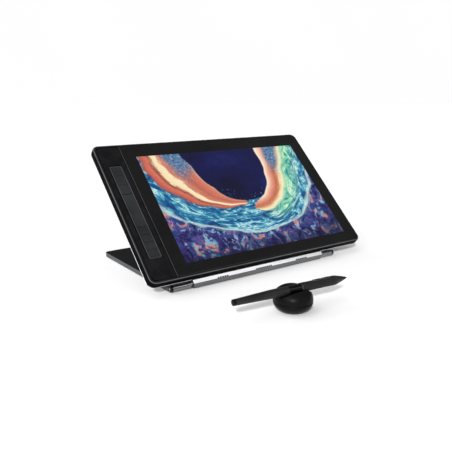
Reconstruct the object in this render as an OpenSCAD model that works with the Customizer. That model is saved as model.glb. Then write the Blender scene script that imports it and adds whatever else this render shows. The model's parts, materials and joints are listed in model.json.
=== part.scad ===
// Pen drawing tablet: a pen display with a key strip, resting on a folding
// metal stand, with a battery-free pen lying across a round pen holder.
// Millimetres, +Z up, the user sits on the -Y side, the desk is z = 0.
// Origin: centre of the whole set's footprint, on the desk.
// Stand parts that tilt are drawn in the hinge frame: s runs up the slope from
// the hinge axis and n is square to the support plate, towards the user.

/* [Tablet] */
// Width of the tablet
tablet_w = 369; // [366:0.5:372]
// Height of the tablet, measured along its slope
tablet_h = 223; // [221:0.5:226]
// Thickness of the tablet
tablet_t = 10.7; // [10.5:0.1:11.2]
// Radius of the tablet's corners
corner_r = 9.5; // [8:0.5:11]
// Width of the picture area
display_w = 286.5; // [284:0.5:288]
// Height of the picture area
display_h = 179; // [177:0.5:180]
// Left edge of the tablet to the picture area
margin_left = 58.8; // [58:0.1:60]
// Bottom edge of the tablet to the picture area
margin_bottom = 19.5; // [19:0.1:21]
// Width of the smooth border round the face
border = 4.2; // [3.8:0.1:4.4]

/* [Key strip] */
// Width of the key strip
strip_w = 17.5; // [17:0.1:18]
// Height of the key strip
strip_h = 149; // [148:0.5:150]
// Left edge of the tablet to the middle of the strip
strip_from_left = 21.6; // [21:0.1:22]
// Middle of the strip below the middle of the tablet
strip_drop = 1.5; // [0:0.5:3]
// Travel of a key
key_travel = 0.5; // [0.3:0.1:0.5]

/* [Stand] */
// Tilt of the tablet from the desk
tilt = 43.2; // [20:0.1:55]
// Width of the stand
stand_w = 285; // [282:1:288]
// Middle of the stand left of the middle of the tablet
stand_offset = 11.2; // [8:0.1:14]
// Hinge axis to the rear edge of the base plate
base_reach = 197; // [190:1:200]
// Top of the base plate above the desk
base_top = 7.2; // [7:0.1:7.4]
// Height of the hinge axis above the desk
hinge_z = 5.5; // [5.4:0.1:5.6]
// Radius of the hinge barrels
barrel_r = 4.2; // [4.1:0.05:4.3]
// Length of the left hinge barrel with its cap
barrel_left_l = 29.4; // [27:0.1:31]
// Length of the right hinge barrel with its cap
barrel_right_l = 26.7; // [25:0.1:31]

/* [Pen and holder] */
// Length of the pen, nib tip included
pen_l = 163.4; // [162.5:0.1:165]
// Height of the pen's axis above the desk
pen_z = 26.7; // [26.6:0.05:27]
// Turn of the pen about the vertical, seen from above
pen_yaw = -4.35; // [-8:0.05:0]
// Radius of the pen holder at its waist
holder_r = 23.3; // [23:0.1:24]
// Hinge axis to the middle of the pen holder
holder_reach = 130; // [125:1:140]
// Middle of the pen holder left of the middle of the tablet
holder_left = 65.7; // [50:0.1:80]

/* [Hidden] */
$fn = 64;
gap = 0.3;
clip = 0.05;

// Place of the hinge axis, so that the footprint is centred on the origin
hinge_y = (holder_reach + holder_r - base_reach) / 2;
holder_y = hinge_y - holder_reach;

// Stand, across
stand_x0 = -stand_offset - stand_w / 2;
stand_x1 = stand_x0 + stand_w;
cap_t = 1;
lip_x0 = stand_x0 + barrel_left_l + 2.3;
lip_x1 = stand_x1 - barrel_right_l - 0.3;

// Stand, heights and depths
foot_t = 1.2;
base_front = 5.2;
base_corner = 6;
base_skin = 2.4;
base_rim = 6;
rib_t = 3;
tongue_x = 3.6;
tongue_w = 20.5;
tongue_z0 = 2.9;
tongue_t = 2.2;
tongue_depth = 13;
screw_x = [8.5, 19.5];
screw_y = 12.5;
plate_front = 5.2;
plate_n0 = 2.4;
plate_t = 3;
plate_n1 = plate_n0 + plate_t;
plate_end = base_reach - 5;
flange_s = 12;
flange_t = 0.8;
pin_r = 2;
pin_bore_r = pin_r + 0.06;
pin_in_lip = 18;
end_bore_r = 3.3;
end_bore_l = 9;
grip_x = [[-84.7, -68.7], [-21.7, 7.3], [52.3, 72.3]];
grip_pitch = 3.2;
lip_slant = 35;
slant_s = -2.6;

// Tablet place in the hinge frame: its back face and its lower edge
tablet_n = 6.5;
tablet_s = 2.6;

// Tablet layers, heights above its back face
trim_h = 1.2;
trim_w = 1.5;
cover_t = 1.5;
wall_t = 2.4;
bezel_z = 8;
ledge_z = 9.4;
glass_top = tablet_t - 0.05;
ledge_w = 2.3;
split_x = -tablet_w / 2 + margin_left - 20;
bar_w = 8;
boss_r = 3.2;
boss_in = 5.9;
boss_top = 6.5;
boss_x = [-1, -0.34, 0.34, 1];
board_z = 1.7;
board_t = 1.2;
emr_z = 5.3;
shield_z = 4.7;
backlight_z = 5.9;
panel_z = 8;
panel_top = 9.4;
display_x = -tablet_w / 2 + margin_left + display_w / 2;
display_y = -tablet_h / 2 + margin_bottom + display_h / 2;
port_y = [45, 66];
port_z = 4.5;
power_x = 140;
power_z = 4.8;
power_travel = 0.5;

// Key strip layout: three keys above the touch bar and four below it
strip_x = -tablet_w / 2 + strip_from_left;
strip_rim = 0.9;
keys_w = strip_w - 2 * strip_rim;
keys_h = strip_h - 2 * strip_rim;
upper_key_h = 15.2;
lower_key_h = 11.3;
key_gap = 0.4;
key_side = 0.3;
tray_z = 8.5;
tray_t = 0.5;
stem_r = 1.5;
key_top = tablet_t + 0.15;
key_under = tray_z + tray_t + key_travel + 0.1;
key_board_z = 6.6;
dome_h = 0.35;
upper_y = [for (i = [0:2]) keys_h / 2 - upper_key_h / 2 - i * (upper_key_h + key_gap)];
lower_y = [for (i = [0:3]) -keys_h / 2 + lower_key_h / 2 + (3 - i) * (lower_key_h + key_gap)];
key_y = concat(upper_y, lower_y);
key_h = [for (i = [0:6]) i < 3 ? upper_key_h : lower_key_h];
upper_end = upper_y[2] - upper_key_h / 2;
lower_end = lower_y[0] + lower_key_h / 2;
touch_gap = 1.2;

// Pen holder
waist_z = 12.5;
holder_drop = 14.5;
shell_z = 0.8;
shell_floor = 2.2;
foot_r = [8.4, 12.4];
puller_r = 7;
tray_r = 15.2;
tray_bottom = 5.2;
tray_h = 4;
holder_rise = 18;
lid_power = 2.6;
holder_wall = 2.4;
skirt_r = 20.2;
groove_r = 12.5;
groove_bottom = 21.1;
groove_back = -2.5;
nib_count = 8;

// Pen stations, measured from the tail
pen_over_holder = 84;
cap_x = 4;
taper_x = 50;
collar_x = 74;
trim_x = 91.4;
grip_start = 92.8;
nose_x = 141;
nose_end = pen_l - 3;
button_x = [[110, 122.6], [123.2, 136]];
button_r = 6.1;
button_w = 4;
button_travel = 0.4;
switch_top = 1.9;
button_under = switch_top + button_travel + 0.2;
sensor_x = 136.6;
sensor_end = 140.8;
nib_travel = 0.8;
nib_start = 138 + nib_travel + 0.1;

// ---------- shared shapes and frames ----------

module on_hinge() {
  translate([0, hinge_y, hinge_z]) rotate([tilt, 0, 0]) children();
}

module on_tablet() {
  on_hinge() translate([0, tablet_s + tablet_h / 2, tablet_n]) children();
}

module on_strip() {
  on_tablet() translate([strip_x, -strip_drop, 0]) children();
}

module on_holder() {
  translate([-holder_left, holder_y, 0]) children();
}

module on_pen() {
  on_holder() rotate([0, 0, pen_yaw]) translate([-pen_over_holder, groove_back, pen_z]) children();
}

// Rectangle with round corners, whose ends keep a narrow flat when they are half round
module rounded(w, h, corner) {
  r = min(corner, w / 2 - clip, h / 2 - clip);
  square([w - 2 * r, h], center = true);
  square([w, h - 2 * r], center = true);
  for (x = [-1, 1], y = [-1, 1]) {
    translate([x * (w / 2 - r), y * (h / 2 - r)]) circle(r);
  }
}

// Rounded slab between two heights
module slab(w, h, r, z0, z1) {
  translate([0, 0, z0]) linear_extrude(z1 - z0) rounded(w, h, r);
}

// The tablet's outline pulled in by a distance, between two heights
module outline(inset, z0, z1) {
  slab(tablet_w - 2 * inset, tablet_h - 2 * inset, max(corner_r - inset, 1.5), z0, z1);
}

// Box given by its lowest and highest corners
module box(low, high) {
  translate(low) cube(high - low);
}

// Cylinder along X from x0 to x1
module rod(x0, x1, r0, r1) {
  translate([x0, 0, 0]) rotate([0, 90, 0]) cylinder(h = x1 - x0, r1 = r0, r2 = r1);
}

// Cross-section given in (s, n), extruded along X
module profile_x(x0, x1) {
  translate([x0, 0, 0]) rotate([90, 0, 90]) linear_extrude(x1 - x0) children();
}

// ---------- stand base ----------

module tongue_screw_spots() {
  for (x = screw_x) {
    translate([stand_x0 + x, hinge_y + screw_y, 0]) children();
    translate([stand_x1 - x, hinge_y + screw_y, 0]) children();
  }
}

module base_plate() {
  color("#26272a") difference() {
    union() {
      translate([(stand_x0 + stand_x1) / 2, hinge_y + (base_front + base_reach) / 2, 0])
        slab(stand_w, base_reach - base_front, base_corner, foot_t, base_top);
      box([stand_x0, hinge_y + base_front, foot_t], [stand_x1, hinge_y + base_front + 20, base_top]);
    }
    // pocket under the plate, with ribs left between four bays
    for (i = [0:3]) {
      bay = (stand_w - 2 * base_rim + rib_t) / 4;
      box([stand_x0 + base_rim + i * bay, hinge_y + base_front + 20, foot_t - 1],
          [stand_x0 + base_rim + (i + 1) * bay - rib_t, hinge_y + base_reach - 16, base_top - base_skin]);
    }
    // slots for the barrels' tongues
    for (x = [stand_x0 + tongue_x, stand_x1 - tongue_x - tongue_w]) {
      box([x - clip, hinge_y + base_front - 1, tongue_z0 - clip],
          [x + tongue_w + clip, hinge_y + base_front + tongue_depth + clip, tongue_z0 + tongue_t + clip]);
    }
    tongue_screw_spots() {
      translate([0, 0, foot_t - 1]) cylinder(h = 2, r = 2.7);
      cylinder(h = 6.5, r = 1.5);
    }
    // shallow seats for the feet
    foot_spots() translate([0, 0, foot_t - 1]) linear_extrude(1.4) rounded(60.2, 8.2, 4.1);
  }
}

module foot_spots() {
  for (x = [stand_x0 + 62, stand_x1 - 62], y = [base_front + 15, base_reach - 8]) {
    translate([x, hinge_y + y, 0]) children();
  }
}

module base_feet() {
  color("#1b1b1c") foot_spots() slab(60, 8, 4, 0, foot_t + 0.4);
}

// Fixed half of one torque hinge: barrel along X with a tongue for the base plate.
// The outer end is at x = 0 and the barrel runs towards +X.
module barrel(l) {
  difference() {
    union() {
      rod(cap_t, l, barrel_r, barrel_r);
      box([tongue_x, 0, tongue_z0 - hinge_z],
          [tongue_x + tongue_w, base_front + tongue_depth, tongue_z0 + tongue_t - hinge_z]);
    }
    rod(0, l + 1, pin_bore_r, pin_bore_r);
    rod(0, cap_t + end_bore_l, end_bore_r, end_bore_r);
    for (x = screw_x) translate([x, screw_y, -6]) cylinder(h = 12, r = 1.5);
  }
}

module hinge_barrel_left() {
  color("#6d6f73") translate([stand_x0, hinge_y, hinge_z]) barrel(barrel_left_l);
}

module hinge_barrel_right() {
  color("#6d6f73") translate([stand_x1, hinge_y, hinge_z]) mirror([1, 0, 0]) barrel(barrel_right_l);
}

module both_ends() {
  translate([stand_x0, hinge_y, hinge_z]) children();
  translate([stand_x1, hinge_y, hinge_z]) mirror([1, 0, 0]) children();
}

module barrel_caps() {
  color("#101011") both_ends() difference() {
    union() {
      rod(0, 0.4, barrel_r - 0.4, barrel_r);
      rod(0.4, cap_t, barrel_r, barrel_r);
      rod(cap_t, cap_t + 1.2, end_bore_r, end_bore_r);
    }
    rod(-1, cap_t + 2, 1.5, 1.5);
    rod(cap_t, cap_t + 2, 2.9, 2.9);
  }
}

module base_screws() {
  color("silver") tongue_screw_spots() {
    translate([0, 0, foot_t]) cylinder(h = 0.9, r = 2.6);
    translate([0, 0, foot_t + 0.9]) cylinder(h = 4.2, r = 1.45);
  }
}

// ---------- tilting support ----------

lip_points = [
  [2.2, 7.7], [-3, 6.3], [-6, -0.3], [-3.4, -2.9], [0, 0], [plate_front, plate_n0],
  [plate_front, plate_n1], [flange_s, plate_n1], [flange_s, plate_n1 + flange_t],
  [2.2, plate_n1 + flange_t]
];

module lip_screw_spots() {
  for (i = [0:4]) {
    translate([lip_x0 + 12 + i * (lip_x1 - lip_x0 - 24) / 4, flange_s - 3, 0]) children();
  }
}

module support_plate() {
  color("#2b2c2f") on_hinge() difference() {
    union() {
      translate([(stand_x0 + stand_x1) / 2, (plate_front + plate_end) / 2, 0])
        slab(stand_w, plate_end - plate_front, base_corner, plate_n0, plate_n1);
      box([stand_x0, plate_front, plate_n0], [stand_x1, plate_front + 20, plate_n1]);
    }
    lip_screw_spots() translate([0, 0, plate_n0 + 0.6]) cylinder(h = 4, r = 1.05);
    pad_spots() translate([0, 0, plate_n1 - 0.5]) linear_extrude(2) rounded(60.2, 12.2, 6.1);
  }
}

module retaining_lip() {
  color("#8e9094") on_hinge() difference() {
    profile_x(lip_x0, lip_x1) {
      circle(barrel_r);
      polygon(lip_points);
    }
    rod(lip_x0 - 1, lip_x0 + pin_in_lip, pin_r, pin_r);
    rod(lip_x1 - pin_in_lip, lip_x1 + 1, pin_r, pin_r);
    lip_screw_spots() {
      translate([0, 0, plate_n1 - 1]) cylinder(h = 3, r = 1.1);
    }
    // slanted ends of the front wedge
    translate([lip_x0, slant_s, 0]) rotate([0, 0, lip_slant]) box([-6, -12, -8], [0, 0, 12]);
    translate([lip_x1, slant_s, 0]) rotate([0, 0, -lip_slant]) box([0, -12, -8], [6, 0, 12]);
    // seats of the rubber grips
    for (g = grip_x) box([g[0] - 0.1, -3.1, 5.7], [g[1] + 0.1, -0.4, 9]);
  }
}

module lip_grips() {
  color("#161617") on_hinge() for (g = grip_x) {
    box([g[0], -3, 5.75], [g[1], -0.5, 6.5]);
    count = floor((g[1] - g[0] - 1.6) / grip_pitch);
    for (i = [0:count]) {
      x = (g[0] + g[1]) / 2 + (i - count / 2) * grip_pitch;
      box([x - 0.8, -3, 6.5], [x + 0.8, -0.5, 7.35]);
    }
  }
}

module pad_spots() {
  for (x = [stand_x0 + 50, stand_x1 - 50], s = [42, plate_end - 18]) translate([x, s, 0]) children();
}

module support_pads() {
  color("#1b1b1c") on_hinge() pad_spots() slab(60, 12, 6, plate_n1 - 0.5, tablet_n - clip);
}

// Hinge pin from the retaining lip out to the cap; outer end at x = 0
module hinge_pin(l) {
  rod(-0.3, 2.4, 1.4, 1.4);
  rod(2.4, l, pin_r, pin_r);
}

module hinge_pin_left() {
  color("#c9cacc") translate([stand_x0, hinge_y, hinge_z])
    hinge_pin(lip_x0 - stand_x0 + pin_in_lip);
}

module hinge_pin_right() {
  color("#c9cacc") translate([stand_x1, hinge_y, hinge_z]) mirror([1, 0, 0])
    hinge_pin(stand_x1 - lip_x1 + pin_in_lip);
}

module lip_screws() {
  color("silver") on_hinge() lip_screw_spots() {
    translate([0, 0, plate_n1 + flange_t - 0.4]) cylinder(h = 0.4, r = 1.1);
    translate([0, 0, plate_n0 + 0.7]) cylinder(h = plate_t + flange_t - 1.1, r = 1);
  }
}

module friction_washers() {
  color("#b9a36a") both_ends() for (i = [0:4]) {
    x = cap_t + end_bore_l - 0.7 - i * 0.7;
    difference() {
      rod(x, x + 0.6, end_bore_r - 0.1, end_bore_r - 0.1);
      rod(x - 1, x + 2, pin_r, pin_r);
    }
  }
}

module hinge_nuts() {
  color("silver") both_ends() difference() {
    translate([3.2, 0, 0]) rotate([0, 90, 0]) cylinder(h = 2.4, r = end_bore_r - 0.15, $fn = 6);
    rod(2, 8, pin_r, pin_r);
  }
}

// ---------- tablet housing ----------

module cover_screw_spots() {
  for (x = boss_x, y = [-1, 1]) {
    translate([x * (tablet_w / 2 - boss_in), y * (tablet_h / 2 - boss_in), 0]) children();
  }
  for (x = [-1, 1]) translate([x * (tablet_w / 2 - boss_in), 0, 0]) children();
}

module back_cover() {
  color("#1d1e20") on_tablet() difference() {
    outline(trim_w, 0, cover_t);
    cover_screw_spots() {
      translate([0, 0, -1]) cylinder(h = 1.9, r = 2.25);
      translate([0, 0, -1]) cylinder(h = 4, r = 1.15);
    }
    // cooling slots above the main board
    for (i = [0:13]) {
      translate([92 + i * 5, 84, -1]) linear_extrude(4) rounded(1.6, 16, 0.8);
    }
  }
}

module edge_trim() {
  color("#d9dadc") on_tablet() difference() {
    outline(0, 0, trim_h);
    outline(trim_w, -1, trim_h + 1);
  }
}

module mid_frame() {
  color("#121213") on_tablet() difference() {
    union() {
      difference() {
        outline(0, trim_h, bezel_z);
        outline(wall_t, trim_h - 1, bezel_z + 1);
        outline(trim_w, trim_h - 1, cover_t);
      }
      intersection() {
        outline(wall_t - 0.1, cover_t, boss_top);
        cover_screw_spots() translate([0, 0, cover_t]) cylinder(h = boss_top - cover_t, r = boss_r);
      }
      // bar between the key area and the display, up to the face plates
      box([split_x - bar_w / 2, -tablet_h / 2 + wall_t - 0.1, cover_t],
          [split_x + bar_w / 2, tablet_h / 2 - wall_t + 0.1, bezel_z - clip]);
      box([split_x - bar_w / 2, -tablet_h / 2 + border + ledge_w + 0.1, bezel_z - 1],
          [split_x + bar_w / 2, tablet_h / 2 - border - ledge_w - 0.1, ledge_z]);
    }
    cover_screw_spots() cylinder(h = 5.8, r = 1);
    for (y = port_y) {
      translate([tablet_w / 2, y, port_z]) rotate([90, 0, 90])
        linear_extrude(10, center = true) rounded(9.5, 3.7, 1.8);
    }
    translate([power_x, tablet_h / 2, power_z]) rotate([90, 0, 0])
      linear_extrude(10, center = true) rounded(14.4, 2.8, 1.3);
    translate([power_x - 14, tablet_h / 2 + 1, power_z]) rotate([90, 0, 0]) cylinder(h = 6, r = 0.8);
  }
}

module front_bezel() {
  color("#0e0e0f") on_tablet() difference() {
    outline(0, bezel_z, tablet_t);
    outline(border, ledge_z, tablet_t + 1);
    outline(border + ledge_w, bezel_z - 1, tablet_t + 1);
  }
}

module cover_screws() {
  color("#3a3b3d") on_tablet() cover_screw_spots() {
    translate([0, 0, 0.1]) cylinder(h = 0.8, r = 2.2);
    translate([0, 0, 0.9]) cylinder(h = 4.7, r = 0.98);
  }
}

module tablet_feet() {
  color("#1b1b1c") on_tablet() for (x = [-165, 165], y = [-96, 96]) {
    translate([x, y, 0]) slab(14, 10, 4, -0.9, 0);
  }
}

module status_light() {
  color("#cfe8ff") on_tablet() translate([power_x - 14, tablet_h / 2 - 0.1, power_z])
    rotate([90, 0, 0]) cylinder(h = 4, r = 0.75);
}

// ---------- face of the tablet ----------

module cover_glass() {
  color("#141a3c") on_tablet() intersection() {
    outline(border + 0.1, ledge_z + clip, glass_top);
    box([split_x + 0.1, -tablet_h, 0], [tablet_w, tablet_h, tablet_t + 1]);
  }
}

module key_panel() {
  color("#161618") on_tablet() difference() {
    intersection() {
      outline(border + 0.1, ledge_z + clip, glass_top);
      box([-tablet_w, -tablet_h, 0], [split_x - 0.1, tablet_h, tablet_t + 1]);
    }
    translate([strip_x, -strip_drop, 0]) slab(strip_w, strip_h, 2, 0, tablet_t + 1);
  }
}

// Tray that frames the keys, with a floor that guides their stems
module key_tray() {
  color("#3a3b3e") on_strip() difference() {
    slab(strip_w - 0.1, strip_h - 0.1, 1.9, tray_z, tablet_t + 0.05);
    slab(keys_w, keys_h, 1.2, tray_z + tray_t, tablet_t + 1);
    for (y = key_y) translate([0, y, 0]) cylinder(h = 20, r = stem_r + gap);
  }
}

module touch_bar() {
  color("#2c2d30") on_strip() translate([0, (upper_end + lower_end) / 2, 0]) {
    slab(keys_w - 2 * key_side, upper_end - lower_end - 2 * touch_gap, 0.8, tray_z + tray_t, tablet_t + 0.1);
  }
}

module key(i) {
  color("#303134") on_strip() translate([0, key_y[i], 0]) {
    slab(keys_w - 2 * key_side, key_h[i], 0.8, key_under, key_top);
    translate([0, 0, tray_z]) cylinder(h = key_under - tray_z + clip, r = stem_r);
  }
}

module key_1() {
  key(0);
}

module key_2() {
  key(1);
}

module key_3() {
  key(2);
}

module key_4() {
  key(3);
}

module key_5() {
  key(4);
}

module key_6() {
  key(5);
}

module key_7() {
  key(6);
}

module power_button() {
  color("#2a2b2d") on_tablet() translate([power_x, tablet_h / 2, power_z]) rotate([90, 0, 0]) {
    translate([0, 0, -0.5]) linear_extrude(wall_t + 1.2) rounded(13.8, 2.2, 1);
    translate([0, 0, wall_t + power_travel + 0.1]) linear_extrude(0.8) rounded(17, 3.4, 1.2);
    translate([0, 0, wall_t + power_travel + 0.1]) cylinder(h = 1.4, r = 1);
  }
}

// ---------- inside the tablet ----------

// Flat layer of the display stack, larger than the picture by the given rims
module display_layer(side, above, below, z0, z1) {
  on_tablet() translate([display_x, display_y, 0])
    box([-display_w / 2 - side, -display_h / 2 - below, z0], [display_w / 2 + side, display_h / 2 + above, z1]);
}

module display_panel() {
  color("#0b1230") display_layer(3, 3, 8, panel_z, panel_top);
}

module backlight_unit() {
  color("#e8e8ea") display_layer(3.4, 3.4, 8.4, backlight_z, panel_z - clip);
}

module emr_sensor() {
  color("#1e5c3a") display_layer(5, 5, 5, emr_z, emr_z + 0.4);
}

module shield_plate() {
  color("#9fa2a6") display_layer(4, 4, 4, shield_z, shield_z + 0.3);
}

module main_board() {
  color("#17613b") on_tablet() {
    box([80, 22, board_z], [181.5, 92, board_z + board_t]);
    box([power_x - 8, 91, board_z], [power_x + 8, 106.4, board_z + board_t]);
    // tact switch behind the power button
    box([power_x - 3, 100, board_z + 1], [power_x + 3, 106.4, power_z + 1.4]);
    // chips and an inductor
    box([104, 44, board_z + 1], [122, 62, board_z + board_t + 1.2]);
    box([130, 40, board_z + 1], [141, 51, board_z + board_t + 1]);
    box([130, 62, board_z + 1], [144, 72, board_z + board_t + 1]);
    translate([158, 55, board_z + 1]) cylinder(h = 1.5, r = 4);
  }
}

module usb_ports() {
  color("#b5b7ba") on_tablet() for (y = port_y) translate([tablet_w / 2 - 0.2, y, port_z]) {
    rotate([90, 0, -90]) difference() {
      linear_extrude(9) rounded(9, 3.2, 1.59);
      translate([0, 0, -1]) linear_extrude(8) rounded(8.3, 2.5, 1.24);
    }
    box([-8, -3.3, -0.35], [-2, 3.3, 0.35]);
  }
}

module key_board() {
  color("#17613b") on_strip() {
    slab(keys_w, keys_h, 1, key_board_z, key_board_z + 1);
  }
}

module key_domes() {
  color("#c9b25a") on_strip() for (y = key_y) {
    translate([0, y, key_board_z + 1]) cylinder(h = dome_h, r1 = 2.6, r2 = 1.2);
  }
}

// ---------- pen holder ----------

// Radius of the lower shell at a height
function base_radius(z) = holder_r * sqrt(1 - pow((waist_z - z) / holder_drop, 2));

// Height of the upper shell at a radius
function lid_height(r) = waist_z + holder_rise * pow(1 - pow(r / holder_r, lid_power), 1 / lid_power);

module holder_base() {
  top = waist_z - 0.1;
  steps = 12;
  side = [for (i = [0:steps]) let (z = shell_z + (top - shell_z) * i / steps) [base_radius(z), z]];
  color("#111112") on_holder() difference() {
    rotate_extrude() polygon(concat([[0, shell_z]], side, [[0, top]]));
    translate([0, 0, shell_z + shell_floor]) cylinder(h = 20, r = base_radius(shell_z) - holder_wall);
    translate([0, 0, tray_bottom]) cylinder(h = 20, r = tray_r + 0.2);
    translate([0, 0, waist_z - 3]) cylinder(h = 10, r = skirt_r + 0.1);
    translate([0, 0, -1]) difference() {
      cylinder(h = shell_z + 1.5, r = foot_r[1] + 0.1);
      cylinder(h = 10, r = foot_r[0] - 0.1);
    }
    translate([0, 0, -1]) cylinder(h = shell_z + 2, r = puller_r + 0.1);
  }
}

module holder_foot() {
  color("#1b1b1c") on_holder() difference() {
    cylinder(h = shell_z + 0.5, r = foot_r[1]);
    translate([0, 0, -1]) cylinder(h = 4, r = foot_r[0]);
  }
}

module nib_puller() {
  color("silver") on_holder() difference() {
    translate([0, 0, 0.9]) cylinder(h = 0.9, r = puller_r);
    cylinder(h = 6, r = 1.3);
    translate([4, 0, 0]) cylinder(h = 6, r = 0.9);
  }
}

module nib_pockets(r) {
  for (i = [0:nib_count - 1]) rotate([0, 0, i * 360 / nib_count]) rod(6.5, 13.5, r, r);
}

module nib_tray() {
  color("#2a2a2c") on_holder() difference() {
    translate([0, 0, tray_bottom]) cylinder(h = tray_h, r = tray_r);
    translate([0, 0, tray_bottom + tray_h]) nib_pockets(1.2);
    translate([0, 0, tray_bottom + 1.4]) cylinder(h = 6, r = 4);
  }
}

module spare_nibs() {
  color("#3a3a3c") on_holder() translate([0, 0, tray_bottom + tray_h - 0.2]) intersection() {
    nib_pockets(0.9);
    difference() {
      cylinder(h = 10, r = 13.3, center = true);
      cylinder(h = 11, r = 6.7, center = true);
    }
  }
}

module holder_lid() {
  steps = 12;
  dome = [for (i = [0:steps]) let (r = holder_r * sin(90 * i / steps)) [r, lid_height(r)]];
  color("#131314") on_holder() difference() {
    union() {
      rotate_extrude() polygon(concat([[0, waist_z]], [for (i = [steps:-1:0]) dome[i]]));
      translate([0, 0, waist_z - 2.5]) cylinder(h = 4, r = skirt_r);
    }
    translate([0, 0, waist_z - 3]) cylinder(h = 7.5, r = skirt_r - 1.4);
    rotate([0, 0, pen_yaw]) translate([0, groove_back, 0]) {
      translate([0, 0, groove_bottom + groove_r]) rod(-40, 40, groove_r, groove_r);
      translate([-pen_over_holder, 0, pen_z]) rod(trim_x - 1, nose_x, button_r, button_r);
    }
  }
}

// ---------- pen ----------

module pen_end_cap() {
  color("#0f0f10") on_pen() {
    rod(0, 0.8, 3, 3.7);
    rod(0.8, cap_x, 3.7, 3.75);
    rod(cap_x - clip, cap_x + 4, 1.9, 1.9);
  }
}

module pen_barrel() {
  color("#101011") on_pen() difference() {
    union() {
      rod(cap_x, taper_x, 3.75, 5.1);
      rod(taper_x - clip, collar_x, 5.1, 5.25);
    }
    rod(cap_x - 1, collar_x + 1, 1.95, 1.95);
  }
}

module pen_collar() {
  color("#0c0c0d") on_pen() difference() {
    rod(collar_x, trim_x, 5.3, 5.4);
    rod(collar_x - 1, trim_x + 1, 3.9, 3.9);
  }
}

module pen_trim() {
  color("#55575a") on_pen() difference() {
    rod(trim_x, grip_start, 5.55, 5.6);
    rod(trim_x - 1, grip_start + 1, 4.2, 4.2);
  }
}

module pen_grip() {
  color("#19191a") on_pen() difference() {
    union() {
      rod(grip_start, 112, 5.65, 5.6);
      rod(112, 128, 5.6, 5.5);
      rod(128, nose_x, 5.5, 5.8);
    }
    rod(grip_start - 1, nose_x + 1, 4.2, 4.2);
    box([button_x[0][0] - 0.4, -button_w / 2 - 0.4, 0], [button_x[1][1] + 0.4, button_w / 2 + 0.4, 9]);
  }
}

module pen_nose() {
  color("#131314") on_pen() difference() {
    union() {
      rod(nose_x, 147, 5.8, 4.9);
      rod(147, nose_end, 4.9, 1.5);
    }
    rod(nose_x - 1, 155, 2.7, 2.7);
    rod(150, nose_end + 1, 1.15, 1.15);
  }
}

module pen_coil() {
  color("#b8733a") on_pen() difference() {
    rod(143, 152, 2.65, 2.65);
    rod(142, 153, 1.2, 1.2);
  }
}

module pen_board() {
  color("#17613b") on_pen() {
    box([82, -3, -0.5], [sensor_x - 0.4, 3, 0.5]);
    for (b = button_x) {
      mid = (b[0] + b[1]) / 2;
      box([mid - 1.5, -1.5, 0.4], [mid + 1.5, 1.5, switch_top]);
    }
  }
}

module nib_sensor() {
  color("#8a8d91") on_pen() difference() {
    rod(sensor_x, sensor_end, 3.2, 3.2);
    rod(nib_start - nib_travel - 0.1, sensor_end + 1, 1.3, 1.3);
  }
}

module pen_nib() {
  color("#2b2b2d") on_pen() {
    rod(nib_start, nose_end, 0.8, 0.8);
    rod(nose_end - clip, pen_l - 0.4, 0.95, 0.6);
    rod(pen_l - 0.4, pen_l, 0.6, 0.25);
  }
}

module pen_button(b) {
  color("#2a2b2d") on_pen() {
    intersection() {
      box([b[0], -button_w / 2, button_under], [b[1], button_w / 2, 9]);
      rod(b[0] - 1, b[1] + 1, button_r, button_r);
    }
  }
}

module pen_button_rear() {
  pen_button(button_x[0]);
}

module pen_button_front() {
  pen_button(button_x[1]);
}

base_plate();
base_feet();
hinge_barrel_left();
hinge_barrel_right();
barrel_caps();
base_screws();
support_plate();
retaining_lip();
lip_grips();
support_pads();
hinge_pin_left();
hinge_pin_right();
lip_screws();
friction_washers();
hinge_nuts();
back_cover();
edge_trim();
mid_frame();
front_bezel();
key_panel();
key_tray();
touch_bar();
cover_glass();
display_panel();
backlight_unit();
emr_sensor();
shield_plate();
main_board();
key_board();
key_domes();
usb_ports();
tablet_feet();
cover_screws();
status_light();
key_1();
key_2();
key_3();
key_4();
key_5();
key_6();
key_7();
power_button();
holder_base();
holder_foot();
nib_tray();
spare_nibs();
nib_puller();
holder_lid();
pen_barrel();
pen_end_cap();
pen_collar();
pen_trim();
pen_grip();
pen_nose();
pen_coil();
pen_board();
nib_sensor();
pen_nib();
pen_button_rear();
pen_button_front();
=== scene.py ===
"""Pen drawing tablet on its folding stand, with the pen lying across its holder."""

import json
import math

import bmesh
import bpy
from mathutils import Matrix, Vector


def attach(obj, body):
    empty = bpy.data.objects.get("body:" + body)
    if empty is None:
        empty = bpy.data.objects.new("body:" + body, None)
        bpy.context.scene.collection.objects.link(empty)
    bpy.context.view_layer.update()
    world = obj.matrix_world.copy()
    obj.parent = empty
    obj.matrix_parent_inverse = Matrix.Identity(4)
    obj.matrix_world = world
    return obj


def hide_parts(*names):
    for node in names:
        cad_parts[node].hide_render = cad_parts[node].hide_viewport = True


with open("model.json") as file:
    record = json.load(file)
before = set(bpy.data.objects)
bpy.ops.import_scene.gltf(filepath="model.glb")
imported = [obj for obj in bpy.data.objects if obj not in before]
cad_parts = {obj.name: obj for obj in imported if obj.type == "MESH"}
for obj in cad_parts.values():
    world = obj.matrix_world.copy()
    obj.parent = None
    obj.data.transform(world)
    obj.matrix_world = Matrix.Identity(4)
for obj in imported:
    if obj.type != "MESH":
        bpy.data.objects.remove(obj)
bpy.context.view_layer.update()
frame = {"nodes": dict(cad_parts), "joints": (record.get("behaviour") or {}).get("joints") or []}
MM = 0.001

# ---------------------------------------------------------------- frames

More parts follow.
